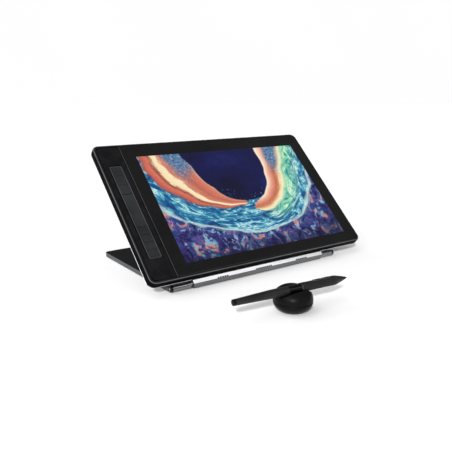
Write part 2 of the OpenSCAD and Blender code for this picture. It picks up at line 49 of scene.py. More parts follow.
JOINTS = {j["name"]: j for j in frame["joints"]}
HINGE = Vector(JOINTS["stand_tilt"]["pos_m"])
NORMAL = Vector(JOINTS["tablet_lift"]["axis"])
ACROSS = Vector((1, 0, 0))
UP = Vector((0, 0, 1))
UP_SLOPE = NORMAL.cross(ACROSS)
PEN_AXIS = -Vector(JOINTS["nib_press"]["axis"])


def frame_matrix(x, y, z, origin):
    """Matrix that takes local x, y, z along the given axes, from the given origin."""
    m = Matrix.Identity(4)
    for column, axis in enumerate((x, y, z)):
        for row in range(3):
            m[row][column] = axis[row]
    for row in range(3):
        m[row][3] = origin[row]
    return m


SLOPE = frame_matrix(ACROSS, UP_SLOPE, NORMAL, HINGE)
HINGE_LINE = frame_matrix(ACROSS, Vector((0, 1, 0)), UP, HINGE)


def span(node, matrix=SLOPE):
    """Lowest and highest corner of a CAD node, in mm, measured in a local frame."""
    back = matrix.inverted()
    points = [back @ v.co for v in frame["nodes"][node].data.vertices]
    low = Vector([min(p[i] for p in points) for i in range(3)]) / MM
    high = Vector([max(p[i] for p in points) for i in range(3)]) / MM
    return low, high


# ---------------------------------------------------------------- mesh tools

def add_piece(name, bm, materials, matrix, sharp=38, weighted=True):
    """Turns a bmesh drawn in mm in a local frame into an object in metres, in the row frame."""
    bmesh.ops.recalc_face_normals(bm, faces=bm.faces)
    bm.transform(matrix @ Matrix.Scale(MM, 4))
    mesh = bpy.data.meshes.new(name)
    bm.to_mesh(mesh)
    bm.free()
    mesh.shade_smooth()
    mesh.set_sharp_from_angle(angle=math.radians(sharp))
    for m in materials:
        mesh.materials.append(m)
    piece = bpy.data.objects.new(name, mesh)
    bpy.context.scene.collection.objects.link(piece)
    if weighted:
        modifier = piece.modifiers.new("normals", "WEIGHTED_NORMAL")
        modifier.keep_sharp = True
    return piece


def finish_piece(piece, body, slot, *nodes):
    """Says what a piece moves with and which CAD nodes it stands for; its finish slot is not used.
    """
    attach(piece, body)
    if nodes:
        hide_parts(*nodes)


def corners(low, high):
    """Corners of a rectangle, anticlockwise from top right, with the signs that lead inwards."""
    return ((high[0], high[1], -1, -1), (low[0], high[1], 1, -1), (low[0], low[1], 1, 1),
            (high[0], low[1], -1, 1))


def rounded_loop(low, high, radii, z, steps=10):
    """Loop round a rectangle whose corners, from top right, have the given radii."""
    points = []
    for turn, ((x, y, sx, sy), r) in enumerate(zip(corners(low, high), radii)):
        for i in range(steps + 1):
            a = math.radians(90 * turn + 90 * i / steps)
            points.append(Vector((x + sx * r + r * math.cos(a), y + sy * r + r * math.sin(a), z)))
    return points


def inset_loop(low, high, radii, inset, z, steps=10):
    """Rounded loop pulled in by a distance, with its radii following."""
    lo = (low[0] + inset, low[1] + inset)
    hi = (high[0] - inset, high[1] - inset)
    return rounded_loop(lo, hi, [max(r - inset, 0.15) for r in radii], z, steps)


def skin(bm, loops, closed=False, caps=(False, False), materials=None):
    """Joins loops of equal length with quads. closed joins the last loop to the first."""
    rows = [[bm.verts.new(p) for p in loop] for loop in loops]
    pairs = list(zip(rows, rows[1:]))
    if closed:
        pairs.append((rows[-1], rows[0]))
    kinds = materials or [0] * len(pairs)
    for kind, (a, b) in zip(kinds, pairs):
        for i in range(len(a)):
            j = (i + 1) % len(a)
            bm.faces.new((a[i], a[j], b[j], b[i])).material_index = kind
    if caps[0]:
        bm.faces.new(rows[0]).material_index = kinds[0]
    if caps[1]:
        last = bm.faces.new(rows[-1])
        last.material_index = kinds[-1]
        return last
    return None


def arc_steps(z_low, z_high, inset, steps=5):
    """(inset, z) pairs of a quarter round from an upright wall to a flat top."""
    rise = z_high - z_low
    angles = [math.radians(90 * i / steps) for i in range(steps + 1)]
    return [(inset * (1 - math.cos(a)), z_low + rise * math.sin(a)) for a in angles]


def ring(radius, station, turns, along="z"):
    """Circle of points about local x or z."""
    points = []
    for i in range(turns):
        a = math.tau * i / turns
        c, s = radius * math.cos(a), radius * math.sin(a)
        points.append(Vector((station, c, s)) if along == "x" else Vector((c, s, station)))
    return points


def lathe(bm, profile, along="x", turns=64):
    """Turned solid from a closed profile of (station, radius) pairs, about local x or z."""
    skin(bm, [ring(radius, station, turns, along) for station, radius in profile], closed=True)


def fillet(points, radius, steps=4):
    """Rounds the corners of a closed outline of 2-D points."""
    out = []
    n = len(points)
    for i in range(n):
        before, here, after = Vector(points[i - 1]), Vector(points[i]), Vector(points[(i + 1) % n])
        a, b = (before - here), (after - here)
        half = a.angle(b) / 2
        cut = min(radius / math.tan(half), a.length * 0.45, b.length * 0.45)
        if cut < 0.02 or half > math.radians(84):
            out.append(here)
            continue
        p, q = here + a.normalized() * cut, here + b.normalized() * cut
        for k in range(steps + 1):
            t = k / steps
            out.append(p * (1 - t) ** 2 + here * 2 * t * (1 - t) + q * t ** 2)
    return out


def bevel(node, width):
    """Softens the edges of a CAD node without touching its mesh."""
    modifier = frame["nodes"][node].modifiers.new("bevel", "BEVEL")
    modifier.width = width * MM
    modifier.segments = 2
    modifier.limit_method = "ANGLE"
    modifier.angle_limit = math.radians(35)
    modifier.use_clamp_overlap = True
    modifier.harden_normals = False


# ---------------------------------------------------------------- material tools

class Graph:
    """Short names for the shader nodes that the materials use."""

    def __init__(self, name):
        self.material = bpy.data.materials.new(name)
        self.material.use_nodes = True
        self.tree = self.material.node_tree
        self.shader = self.tree.nodes["Principled BSDF"]

    def node(self, kind, inputs=None, **settings):
        """New shader node, with values or sockets plugged into the inputs that are named."""
        made = self.tree.nodes.new(kind)
        for key, value in settings.items():
            setattr(made, key, value)
        for key, value in (inputs or {}).items():
            self.plug(made.inputs[key], value)
        return made

    def plug(self, socket, value):
        if hasattr(value, "is_output"):
            self.tree.links.new(value, socket)
        else:
            socket.default_value = value

    def place(self):
        return self.node("ShaderNodeTexCoord").outputs["Object"]

    def mapped(self, vector, location=(0, 0, 0), rotation=(0, 0, 0), scale=(1, 1, 1)):
        inputs = {"Vector": vector, "Location": location, "Rotation": rotation, "Scale": scale}
        return self.node("ShaderNodeMapping", inputs).outputs["Vector"]

    def noise(self, vector, scale, detail=4, rough=0.55, distortion=0.0, colour=False):
        inputs = {"Vector": vector, "Scale": scale, "Detail": detail, "Roughness": rough,
                  "Distortion": distortion}
        return self.node("ShaderNodeTexNoise", inputs).outputs["Color" if colour else "Fac"]

    def math(self, operation, a, b=0.0):
        return self.node("ShaderNodeMath", {0: a, 1: b}, operation=operation).outputs[0]

    def add(self, a, b):
        return self.math("ADD", a, b)

    def less(self, a, b):
        return self.math("SUBTRACT", a, b)

    def times(self, a, b):
        return self.math("MULTIPLY", a, b)

    def facing(self, axis):
        """Cosine of the angle between a face's normal and an axis."""
        inputs = {0: self.node("ShaderNodeTexCoord").outputs["Normal"], 1: tuple(axis)}
        return self.node("ShaderNodeVectorMath", inputs, operation="DOT_PRODUCT").outputs["Value"]

    def split(self, vector):
        return self.node("ShaderNodeSeparateXYZ", {0: vector}).outputs[:3]

    def join(self, x, y, z=0.0):
        return self.node("ShaderNodeCombineXYZ", {0: x, 1: y, 2: z}).outputs[0]

    def ramp(self, factor, stops):
        made = self.node("ShaderNodeValToRGB", {0: factor})
        elements = made.color_ramp.elements
        while len(elements) < len(stops):
            elements.new(0.5)
        for element, (position, colour) in zip(elements, stops):
            element.position = position
            element.color = (*rgb(colour), 1)
        return made.outputs[0]

    def remap(self, value, low, high, to_low=0.0, to_high=1.0, smooth=False):
        inputs = dict(enumerate((value, low, high, to_low, to_high)))
        kind = "SMOOTHSTEP" if smooth else "LINEAR"
        made = self.node("ShaderNodeMapRange", inputs, clamp=True, interpolation_type=kind)
        return made.outputs[0]

    def mix(self, factor, a, b, blend="MIX"):
        made = self.node("ShaderNodeMix", {"Factor": factor}, data_type="RGBA", blend_type=blend)
        for name, value in (("A", a), ("B", b)):
            socket = next(s for s in made.inputs if s.name == name and s.type == "RGBA")
            self.plug(socket, value if hasattr(value, "is_output") else (*rgb(value), 1))
        return next(s for s in made.outputs if s.type == "RGBA")

    def bump(self, height, strength, distance):
        inputs = {"Strength": strength, "Distance": distance, "Height": height}
        made = self.node("ShaderNodeBump", inputs)
        self.plug(self.shader.inputs["Normal"], made.outputs["Normal"])

    def set(self, **values):
        names = {"base": "Base Color", "rough": "Roughness", "metal": "Metallic",
                 "level": "Specular IOR Level", "glow": "Emission Color",
                 "glow_strength": "Emission Strength"}
        for key, value in values.items():
            self.plug(self.shader.inputs[names[key]], value)


def rgb(colour):
    """Linear colour from three sRGB values out of 255."""
    def linear(v):
        v /= 255
        return v / 12.92 if v <= 0.04045 else ((v + 0.055) / 1.055) ** 2.4
    return tuple(linear(v) for v in colour)


def plastic(name, dark, light, rough=(0.32, 0.46), grain=900, grain_depth=0.02, patch=22,
            level=0.12):
    """Moulded plastic or rubber: cloudy tone, uneven gloss and a fine grain."""
    g = Graph(name)
    place = g.place()
    cloud = g.noise(place, patch, detail=3)
    g.set(base=g.ramp(cloud, ((0.3, dark), (0.7, light))), level=level)
    smudge = g.noise(place, patch * 3.1, detail=5, rough=0.6)
    g.set(rough=g.remap(smudge, 0.3, 0.7, *rough))
    g.bump(g.noise(place, grain, detail=2), 0.35, grain_depth * MM)
    return g.material


def metal(name, dark, light, rough=(0.24, 0.36), stretch=(6, 700, 700), metallic=1.0, level=0.5):
    """Metal with fine lines running along the short side of the stretch."""
    g = Graph(name)
    place = g.place()
    lines = g.noise(g.mapped(place, scale=stretch), 1.0, detail=3, rough=0.6)
    cloud = g.noise(place, 14, detail=3)
    tone = g.add(g.times(lines, 0.6), g.times(cloud, 0.4))
    g.set(base=g.ramp(tone, ((0.3, dark), (0.7, light))), metal=metallic, level=level)
    g.set(rough=g.remap(lines, 0.3, 0.7, *rough))
    g.bump(lines, 0.3, 0.006 * MM)
    return g.material


def plate(name, axis, dark, light, painted_edge_dark, painted_edge_light, level=0.06):
    """Blasted metal whose broad faces, square to the axis, differ in tone from its edges: the two
    tones are painted light and shade.
    """
    g = Graph(name)
    place = g.place()
    grain = g.noise(place, 260, detail=3, rough=0.6)
    cloud = g.noise(place, 14, detail=3)
    tone = g.add(g.times(grain, 0.6), g.times(cloud, 0.4))
    face = g.ramp(tone, ((0.3, dark), (0.7, light)))
    edge = g.ramp(tone, ((0.3, painted_edge_dark), (0.7, painted_edge_light)))
    # Painted light and shade: the tone follows which way a face looks
    painted_edge_mask = g.remap(g.math("ABSOLUTE", g.facing(axis)), 0.9, 0.6)
    g.set(base=g.mix(painted_edge_mask, face, edge), level=level)
    g.set(rough=g.remap(grain, 0.3, 0.7, 0.42, 0.54))
    g.bump(grain, 0.3, 0.01 * MM)
    return g.material


# ---------------------------------------------------------------- the picture on the screen

# Tones of its parts: place along the ramp and sRGB colour
COLD_WATER = ((0.30, (14, 30, 92)), (0.41, (26, 84, 150)), (0.50, (44, 140, 186)),
              (0.56, (120, 204, 214)), (0.61, (232, 246, 242)), (0.66, (84, 176, 200)),
              (0.76, (30, 96, 160)))
GREEN_WATER = ((0.28, (26, 92, 140)), (0.38, (60, 168, 176)), (0.48, (140, 220, 192)),
               (0.56, (190, 232, 200)), (0.62, (240, 248, 232)), (0.68, (110, 204, 188)),
               (0.78, (44, 128, 160)))
LEFT_ARM = ((0.00, (246, 206, 182)), (0.03, (226, 146, 118)), (0.20, (206, 118, 94)),
            (0.33, (222, 156, 126)), (0.36, (252, 238, 208)), (0.43, (246, 230, 194)),
            (0.46, (170, 90, 78)), (0.50, (226, 132, 104)), (0.57, (206, 108, 88)),
            (0.61, (96, 70, 110)))
RIGHT_ARM = ((0.00, (254, 244, 230)), (0.08, (244, 208, 186)), (0.17, (230, 168, 140)),
             (0.27, (208, 124, 90)), (0.33, (214, 152, 112)), (0.38, (246, 220, 176)),
             (0.44, (250, 240, 216)), (0.50, (186, 224, 190)))
HAZE = ((0.34, (38, 80, 134)), (0.52, (86, 140, 186)), (0.66, (176, 206, 220)))
SKY = ((0.35, (8, 7, 52)), (0.55, (14, 18, 84)), (0.70, (30, 40, 112)))
SPRAY = (150, 206, 226)
GROUND = ((0.36, (20, 20, 84)), (0.45, (70, 56, 132)), (0.51, (38, 78, 152)),
          (0.57, (104, 84, 156)), (0.65, (54, 124, 178)))
LEAVES = ((0.40, (160, 180, 222)), (0.49, (140, 206, 222)), (0.53, (230, 150, 128)),
          (0.62, (240, 186, 160)))
GAPS = (12, 12, 58)
CREST = (214, 234, 230)
MARKS = ((0.36, (84, 86, 96)), (0.5, (130, 130, 130)), (0.64, (188, 184, 178)))
CORNERS = (12, 12, 40)


class Flow:
    """The places and noises that the parts of the picture share."""

    def __init__(self, g, low, size):
        level = SLOPE.inverted()
        flat = g.mapped(g.place(), location=level.translation, rotation=level.to_euler())
        uv = g.mapped(flat, location=(-low[0] / size[0], -low[1] / size[1], 0),
                      scale=(1 / (size[0] * MM), 1 / (size[1] * MM), 0))
        self.uv = uv
        self.u, self.v, _ = g.split(uv)
        self.fine = g.noise(g.mapped(uv, scale=(1.6, 1, 1)), 52, detail=5, rough=0.75)

        # Turn and reach about a point over the top edge: the bands run round it
        warp_x, warp_y, _ = g.split(g.noise(uv, 2.2, detail=2, rough=0.5, colour=True))
        x = g.add(g.times(g.less(self.u, 0.48), 1.6), g.times(g.less(warp_x, 0.5), 0.26))
        y = g.add(g.less(1.12, self.v), g.times(g.less(warp_y, 0.5), 0.22))
        reach = g.math("SQRT", g.add(g.times(x, x), g.times(y, y)))
        self.turn = g.math("ARCTAN2", x, y)
        along = g.times(self.turn, 5.0)
        self.streak = g.noise(g.join(g.times(reach, 34), along), 1.0, detail=6, rough=0.7)
        self.swirl = g.noise(g.join(g.times(reach, 15), along, 4.0), 1.0, detail=6, rough=0.66,
                             distortion=1.3)

        # Depth from 0 at the sky to 1 at the ground, plain and ruffled
        off_middle = g.math("ABSOLUTE", g.less(self.turn, 0.08))
        inner = g.remap(off_middle, 1.25, 0.12, 0.42, 0.64, smooth=True)
        self.depth = g.math("DIVIDE", g.less(reach, inner), g.less(1.0, inner))
        ruffle = g.times(g.less(self.streak, 0.5), 0.13)
        self.shore = g.add(self.depth, g.times(ruffle, g.remap(self.depth, 0.0, 0.5, 0.25, 1.6)))


def paint_water(g, flow):
    """Streaks of blue, teal, mint and foam, greener on the right."""
    wave = g.add(flow.swirl, g.times(g.less(flow.streak, 0.5), 0.35))
    right = g.remap(flow.turn, 0.10, 0.45, smooth=True)
    shallow = g.remap(flow.depth, 0.85, 0.55, smooth=True)
    return g.mix(g.times(right, shallow), g.ramp(wave, COLD_WATER), g.ramp(wave, GREEN_WATER))


def paint_arm(g, flow, widths, tones, edge, water):
    """Bands along the shore that narrow as they turn, with water beyond their edge."""
    across = g.math("DIVIDE", flow.shore, g.remap(flow.turn, *widths, smooth=True))
    return g.mix(g.remap(across, *edge), g.ramp(across, tones), water)


def paint_arms(g, flow, water):
    """Two arms that end in the water: the left one in a point, the right one in a round bow."""
    left = paint_arm(g, flow, (-1.0, 0.10, 1.06, 0.24), LEFT_ARM, (0.58, 0.63), water)
    right = paint_arm(g, flow, (0.95, 0.20, 1.0, 0.86), RIGHT_ARM, (0.46, 0.54), water)
    bow = g.times(g.math("POWER", g.math("ABSOLUTE", g.less(flow.depth, 0.24)), 2.0), 2.6)
    in_right = g.remap(g.less(g.less(flow.turn, 0.12), bow), 0.0, 0.02)
    in_left = g.remap(flow.turn, 0.06, 0.0, smooth=True)
    arms = g.mix(in_right, g.mix(in_left, water, left), right)

    # Blue haze in the upper part of both
    high_left = g.times(g.remap(flow.turn, -0.66, -1.10, smooth=True),
                        g.remap(flow.shore, 0.36, 0.22, smooth=True))
    band = g.times(g.remap(flow.depth, 0.10, 0.18, smooth=True),
                   g.remap(flow.depth, 0.46, 0.32, smooth=True))
    high_right = g.times(g.remap(flow.turn, 0.78, 1.05, smooth=True), band)
    haze = g.times(g.math("MAXIMUM", high_left, high_right), 0.95)
    return g.mix(haze, arms, g.ramp(flow.fine, HAZE))


def paint_sky(g, flow):
    """Dark sky inside the arms, with spray along the water's edge."""
    sky = g.ramp(g.noise(flow.uv, 2.6, detail=3), SKY)
    middle = g.remap(g.math("ABSOLUTE", flow.turn), 0.55, 0.2)
    low = g.times(g.remap(flow.depth, -0.24, -0.04), middle)
    return g.mix(g.times(g.remap(flow.fine, 0.60, 0.68), low), sky, SPRAY)


def paint_ground(g, flow):
    """Dappled ground below the water."""
    leaf = g.noise(g.mapped(flow.uv, rotation=(0, 0, -0.5), scale=(17, 8, 1)), 1.0, detail=7,
                   rough=0.72, distortion=0.9)
    patch = g.noise(g.mapped(flow.uv, rotation=(0, 0, 0.4), scale=(6, 9, 1)), 1.0, rough=0.6)
    ground = g.mix(g.remap(leaf, 0.53, 0.59), g.ramp(patch, GROUND), g.ramp(patch, LEAVES))
    return g.mix(g.remap(leaf, 0.46, 0.39), ground, GAPS)


def picture(low, size):
    """Abstract of flowing bands, lit from behind, drawn over a rectangle given in mm."""
    g = Graph("picture")
    flow = Flow(g, low, size)
    arms = paint_arms(g, flow, paint_water(g, flow))
    painted = g.mix(g.remap(flow.shore, -0.015, 0.01), paint_sky(g, flow), arms)

    # Ground below a pale crest
    painted = g.mix(g.remap(flow.shore, 0.95, 1.02, smooth=True), painted, paint_ground(g, flow))
    crest = g.times(g.remap(flow.shore, 0.90, 0.95), g.remap(flow.shore, 1.00, 0.97))
    painted = g.mix(g.times(crest, 0.8), painted, CREST)

    # Brush marks, then darker lower corners
    mark = g.ramp(g.add(g.times(flow.fine, 0.5), g.times(flow.streak, 0.5)), MARKS)
    painted = g.mix(0.5, painted, mark, "OVERLAY")
    corner = g.add(g.times(flow.u, 0.62), g.times(flow.v, -0.55))
    shade = g.times(g.remap(flow.v, -0.05, 0.16, smooth=True),
                    g.remap(corner, 0.62, 0.40, smooth=True))
    lit = g.mix(g.remap(shade, 0.0, 1.0, 0.25, 1.0), CORNERS, painted)
    g.set(base=(0.004, 0.004, 0.006, 1), glow=lit, glow_strength=1.0, level=0.3)
    g.set(rough=g.remap(flow.fine, 0.3, 0.7, 0.22, 0.28))
    return g.material


# ---------------------------------------------------------------- materials

BEZEL = plastic("bezel_black", (20, 20, 21), (29, 29, 30), rough=(0.34, 0.46), level=0.08)
WALL = plastic("bezel_wall", (3, 3, 3), (7, 7, 7), rough=(0.45, 0.6), level=0.02)
# Light grey painted on the bezel's ridge and on the glass's seam faces, as a painted highlight
RIM = plastic("bezel_rim_painted_highlight", (68, 68, 70), (88, 88, 90), rough=(0.3, 0.4), level=0.1)
SIDE = plastic("side_black", (3, 3, 4), (7, 7, 8), rough=(0.45, 0.6), level=0.01)
PANEL = plastic("woven_black", (3, 3, 4), (7, 7, 8), rough=(0.45, 0.6), level=0.02)
DOTS = plastic("woven_tips", (30, 30, 32), (50, 50, 52), rough=(0.36, 0.5), patch=60, level=0.06)
KEYS = plastic("key_grey", (33, 34, 35), (45, 46, 47), rough=(0.42, 0.55), level=0.08)
TRAY = plastic("tray_grey", (68, 69, 71), (88, 89, 91), rough=(0.34, 0.44), level=0.1)
TOUCH = plastic("touch_grey", (37, 38, 39), (49, 50, 51), rough=(0.3, 0.4), level=0.08)
RUBBER = plastic("silicone_black", (16, 16, 17), (27, 27, 28), rough=(0.6, 0.8), grain=1500,
                 grain_depth=0.05)
GLASS_BLACK = plastic("glass_black", (15, 15, 16), (21, 21, 22), rough=(0.14, 0.22), grain=2400,
                      grain_depth=0.002, level=0.26)
# Cover: back face painted grey and edges painted near black, as painted light and shade
COVER = plate("cover_painted_dark_edges", NORMAL, (38, 39, 41), (50, 51, 53), (2, 2, 3), (5, 5, 6), level=0.05)
# Base plate: dark top with its edges painted light grey, as a painted highlight
BASE = plate("base_painted_light_edges", (0, 0, 1), (10, 11, 12), (17, 18, 19), (72, 73, 75), (90, 91, 93))
STAND = metal("stand_dark", (24, 25, 27), (36, 37, 39), rough=(0.38, 0.5), stretch=(9, 260, 260),
              metallic=0.25, level=0.15)
# The lip is one silver aluminium: its land is painted near white as a painted highlight, its front
# and ends darker grey as painted shade
LIP_PAINTED_HIGHLIGHT = metal("lip_painted_highlight", (226, 227, 229), (246, 247, 248), rough=(0.28, 0.4))
LIP_PAINTED_SHADE = metal("lip_painted_shade", (106, 107, 109), (134, 135, 137), rough=(0.34, 0.46))
HINGE_METAL = metal("hinge_gunmetal", (118, 119, 121), (150, 151, 153), rough=(0.22, 0.32))
STEEL = metal("bright_steel", (176, 177, 180), (214, 215, 218), rough=(0.18, 0.3))
DARK_STEEL = metal("dark_steel", (52, 53, 56), (84, 85, 88), rough=(0.3, 0.42))
# Grey of the pen's ring, also painted on the buttons' edges as a painted highlight
TRIM_RING_AND_GLINT = metal("pen_ring_grey_and_glint", (84, 85, 87), (112, 113, 115), rough=(0.3, 0.4))
POLISHED = metal("polished_edge", (206, 207, 210), (238, 239, 241), rough=(0.10, 0.2))
BRONZE = metal("washer_bronze", (150, 120, 66), (196, 162, 96), rough=(0.3, 0.42))
COPPER = metal("coil_copper", (150, 82, 44), (198, 118, 66), rough=(0.3, 0.42), stretch=(900, 8, 8))
BOARD = plastic("circuit_board", (16, 70, 40), (26, 96, 56), rough=(0.35, 0.5))
WHITE_SHEET = plastic("reflector_sheet", (214, 214, 212), (236, 236, 234), rough=(0.5, 0.6))
LIGHT_PIPE = plastic("light_pipe", (180, 206, 226), (212, 232, 246), rough=(0.15, 0.25))
HOLDER_BLACK = plastic("holder_black", (9, 9, 9), (16, 16, 16), rough=(0.36, 0.44), patch=60,
                       level=0.08)
PEN_BLACK = plastic("pen_black", (24, 24, 25), (36, 36, 37), rough=(0.3, 0.42), patch=60, level=0.2)
PEN_GLOSS = plastic("pen_gloss", (3, 3, 4), (7, 7, 8), rough=(0.14, 0.2), patch=60, level=0.15)
PEN_GRIP = plastic("pen_grip", (27, 27, 28), (38, 38, 39), rough=(0.5, 0.65), grain=1500,
                   grain_depth=0.16, patch=420)
NIB = plastic("nib_black", (24, 24, 25), (38, 38, 39), rough=(0.45, 0.6), patch=120)

# CAD nodes that stay as they are, with their finish
KEPT = {
    "base_plate": BASE, "support_plate": STAND, "base_feet": RUBBER, "support_pads": RUBBER,
    "hinge_barrel_left": HINGE_METAL, "hinge_barrel_right": HINGE_METAL,
    "base_screws": STEEL, "lip_screws": STEEL, "hinge_pin_left": STEEL, "hinge_pin_right": STEEL,
    "friction_washers": BRONZE, "hinge_nuts": STEEL, "back_cover": COVER,
    "mid_frame": SIDE, "display_panel": GLASS_BLACK, "backlight_unit": WHITE_SHEET,
    "emr_sensor": BOARD, "shield_plate": STEEL, "main_board": BOARD, "key_board": BOARD,
    "key_domes": BRONZE,
    "usb_ports": STEEL, "tablet_feet": RUBBER, "cover_screws": DARK_STEEL,
    "status_light": LIGHT_PIPE, "power_button": KEYS,
    "holder_foot": RUBBER, "nib_tray": SIDE, "spare_nibs": NIB, "nib_puller": STEEL,
    "pen_coil": COPPER, "pen_board": BOARD, "nib_sensor": STEEL,
}


def dress_kept_nodes():
    for node, material in KEPT.items():
        mesh = frame["nodes"][node].data
        mesh.materials.clear()
        mesh.materials.append(material)
    for node, width in (("base_plate", 0.7), ("support_plate", 0.6), ("hinge_barrel_left", 0.4),
                        ("hinge_barrel_right", 0.4), ("back_cover", 0.3), ("tablet_feet", 0.3),
                        ("support_pads", 0.25), ("power_button", 0.25)):
        bevel(node, width)


# ---------------------------------------------------------------- the tablet's face

CORNER = 9.5
BORDER = 4.2
SEAM_R = 0.6  # corners of the glass and the woven panel where they meet


def make_bezel():
    low, high = span("front_bezel")
    rim_z, ledge_z = high.z - 0.35, high.z - 1.3
    ledge = BORDER + 2.3
    wall = [(0, low.z)] + arc_steps(high.z - 1.9, rim_z, 1.15)
    rim = [(1.3, high.z - 0.2), (1.75, high.z)]
    top = [(BORDER - 0.2, high.z), (BORDER, high.z - 0.15), (BORDER, ledge_z)]
    steps = wall + rim + top + [(ledge, ledge_z), (ledge, low.z)]
    loops = [inset_loop(low, high, [CORNER] * 4, inset, z) for inset, z in steps]
    # Black wall, a ridge painted light grey as a painted highlight, grey border and black inside
    grey, ridge, black = 0, 1, 2
    kinds = [black] * (len(wall) - 3) + [ridge] * 4
    kinds += [grey] * (len(steps) - len(kinds) - 1) + [black]
    bm = bmesh.new()
    skin(bm, loops, closed=True, materials=kinds)
    piece = add_piece("bezel_ring", bm, [BEZEL, RIM, WALL], SLOPE)
    finish_piece(piece, "tablet", "bezel_plastic", "front_bezel")


def make_trim():
    """Polished ring round the tablet's back edge, slanted so that it shows from the front."""
    low, high = span("edge_trim")
    depth, slant = 1.5, 0.7
    steps = [(depth, low.z), (0.35, low.z), (0.05, low.z + 0.2), (0.0, low.z + 0.3),
             (slant, high.z), (depth, high.z)]
    loops = [inset_loop(low, high, [CORNER] * 4, inset, z) for inset, z in steps]
    bm = bmesh.new()
    skin(bm, loops, closed=True)
    piece = add_piece("polished_trim", bm, [POLISHED], SLOPE)
    finish_piece(piece, "tablet", "polished_edge", "edge_trim")


def make_barrel_caps():
    """Black caps of the hinge barrels, with a collar over each barrel's end."""
    low, high = span("barrel_caps", HINGE_LINE)
    outer, inner = BARREL_R + 0.07, BARREL_R + 0.01
    plug_r, plug_in, bore = 3.2, 2.9, 1.5
    collar, seat, plug = 3.2, 1.02, 2.1
    half = [(0.0, bore), (0.0, BARREL_R - 0.5), (0.12, BARREL_R - 0.15), (0.4, BARREL_R),
            (0.7, outer), (collar, outer), (collar + 0.1, inner), (seat, inner), (seat, plug_r),
            (plug, plug_r), (plug, plug_in), (1.0, plug_in), (1.0, bore)]
    bm = bmesh.new()
    for end, inward in ((low.x, 1), (high.x, -1)):
        profile = [(end + inward * x, r) for x, r in half]
        lathe(bm, profile[::inward])
    piece = add_piece("barrel_end_caps", bm, [PEN_GLOSS], HINGE_LINE)
    finish_piece(piece, "base", "black_plastic", "barrel_caps")


def make_glass():
    low, high = span("cover_glass")
    panel_low, panel_high = span("display_panel")
    picture_low = Vector((panel_low.x + 3, panel_low.y + 8, 0))
    picture_high = Vector((panel_high.x - 3, panel_high.y - 3, 0))
    radii = [CORNER - BORDER, SEAM_R, SEAM_R, CORNER - BORDER]
    loops = [
        inset_loop(low, high, radii, 0, low.z),
        inset_loop(low, high, radii, 0, high.z - 0.2),
        inset_loop(low, high, radii, 0.45, high.z),
        rounded_loop(picture_low, picture_high, [0.3] * 4, high.z),
    ]
    bm = bmesh.new()
    skin(bm, loops, caps=(True, True)).material_index = 1

    # Painted highlight: the glass's faces that look left and up, where it meets the woven panel,
    # get a light grey
    bm.normal_update()
    for side in bm.faces:
        if side.normal.x < -0.3 and side.normal.z > 0.2:
            side.material_index = 2
    size = picture_high - picture_low
    piece = add_piece("screen_glass", bm, [GLASS_BLACK, picture(picture_low, size), RIM], SLOPE)
    finish_piece(piece, "tablet", "screen_glass", "cover_glass")


def inside_rounded(x, y, low, high, radii, margin):
    """Whether a point is inside a rounded rectangle, clear of its edge by a margin."""
    if not (low[0] + margin < x < high[0] - margin and low[1] + margin < y < high[1] - margin):
        return False
    for (cx, cy, sx, sy), r in zip(corners(low, high), radii):
        px, py = cx + sx * r, cy + sy * r
        in_corner = (x - px) * sx < 0 and (y - py) * sy < 0
        if in_corner and math.hypot(x - px, y - py) > r - margin:
            return False
    return True


def grown(low, high, by):
    """Rectangle pushed out by a distance on every side."""
    return (low[0] - by, low[1] - by), (high[0] + by, high[1] + by)


def add_tip(bm, x, y, z, half, rise):
    """Low four-sided tip of the woven relief."""
    ways = ((1, 0), (0, 1), (-1, 0), (0, -1))
    base = [bm.verts.new((x + half * dx, y + half * dy * 0.8, z)) for dx, dy in ways]
    tip = [bm.verts.new((x + half * dx * 0.3, y + half * dy * 0.25, z + rise)) for dx, dy in ways]
    for i in range(4):
        j = (i + 1) % 4
        bm.faces.new((base[i], base[j], tip[j], tip[i])).material_index = 1
    bm.faces.new(tip).material_index = 1
    bm.faces.new(base[::-1]).material_index = 1


def make_key_panel():
    low, high = span("key_panel")
    tray_low, tray_high = span("key_tray")
    radii = [SEAM_R, CORNER - BORDER, CORNER - BORDER, SEAM_R]
    hole = grown(tray_low, tray_high, 0.05)
    hole_r, soft = 2.0, 0.2
    loops = [
        inset_loop(low, high, radii, 0, low.z),
        inset_loop(low, high, radii, 0, high.z - soft),
        inset_loop(low, high, radii, soft, high.z),
        rounded_loop(*grown(*hole, 0.3), [hole_r + soft] * 4, high.z),
        rounded_loop(*hole, [hole_r] * 4, high.z - 0.3),
        rounded_loop(*hole, [hole_r] * 4, low.z),
    ]
    bm = bmesh.new()
    skin(bm, loops, closed=True)

    # Tips on a diagonal grid, clear of the edge and of the tray
    pitch, half, rise = 2.5, 0.84, 0.18
    rows = int((high.y - low.y) / (pitch / 2))
    columns = int((high.x - low.x) / pitch)
    for row in range(rows):
        for column in range(columns + 1):
            x = low.x + (column + 0.5 * (row % 2)) * pitch
            y = low.y + row * pitch / 2
            on_panel = inside_rounded(x, y, low, high, radii, 1.0)
            if on_panel and not inside_rounded(x, y, tray_low, tray_high, [hole_r] * 4, -1.2):
                add_tip(bm, x, y, high.z, half, rise)
    piece = add_piece("woven_panel", bm, [PANEL, DOTS], SLOPE, weighted=False)
    finish_piece(piece, "tablet", "woven_panel", "key_panel")


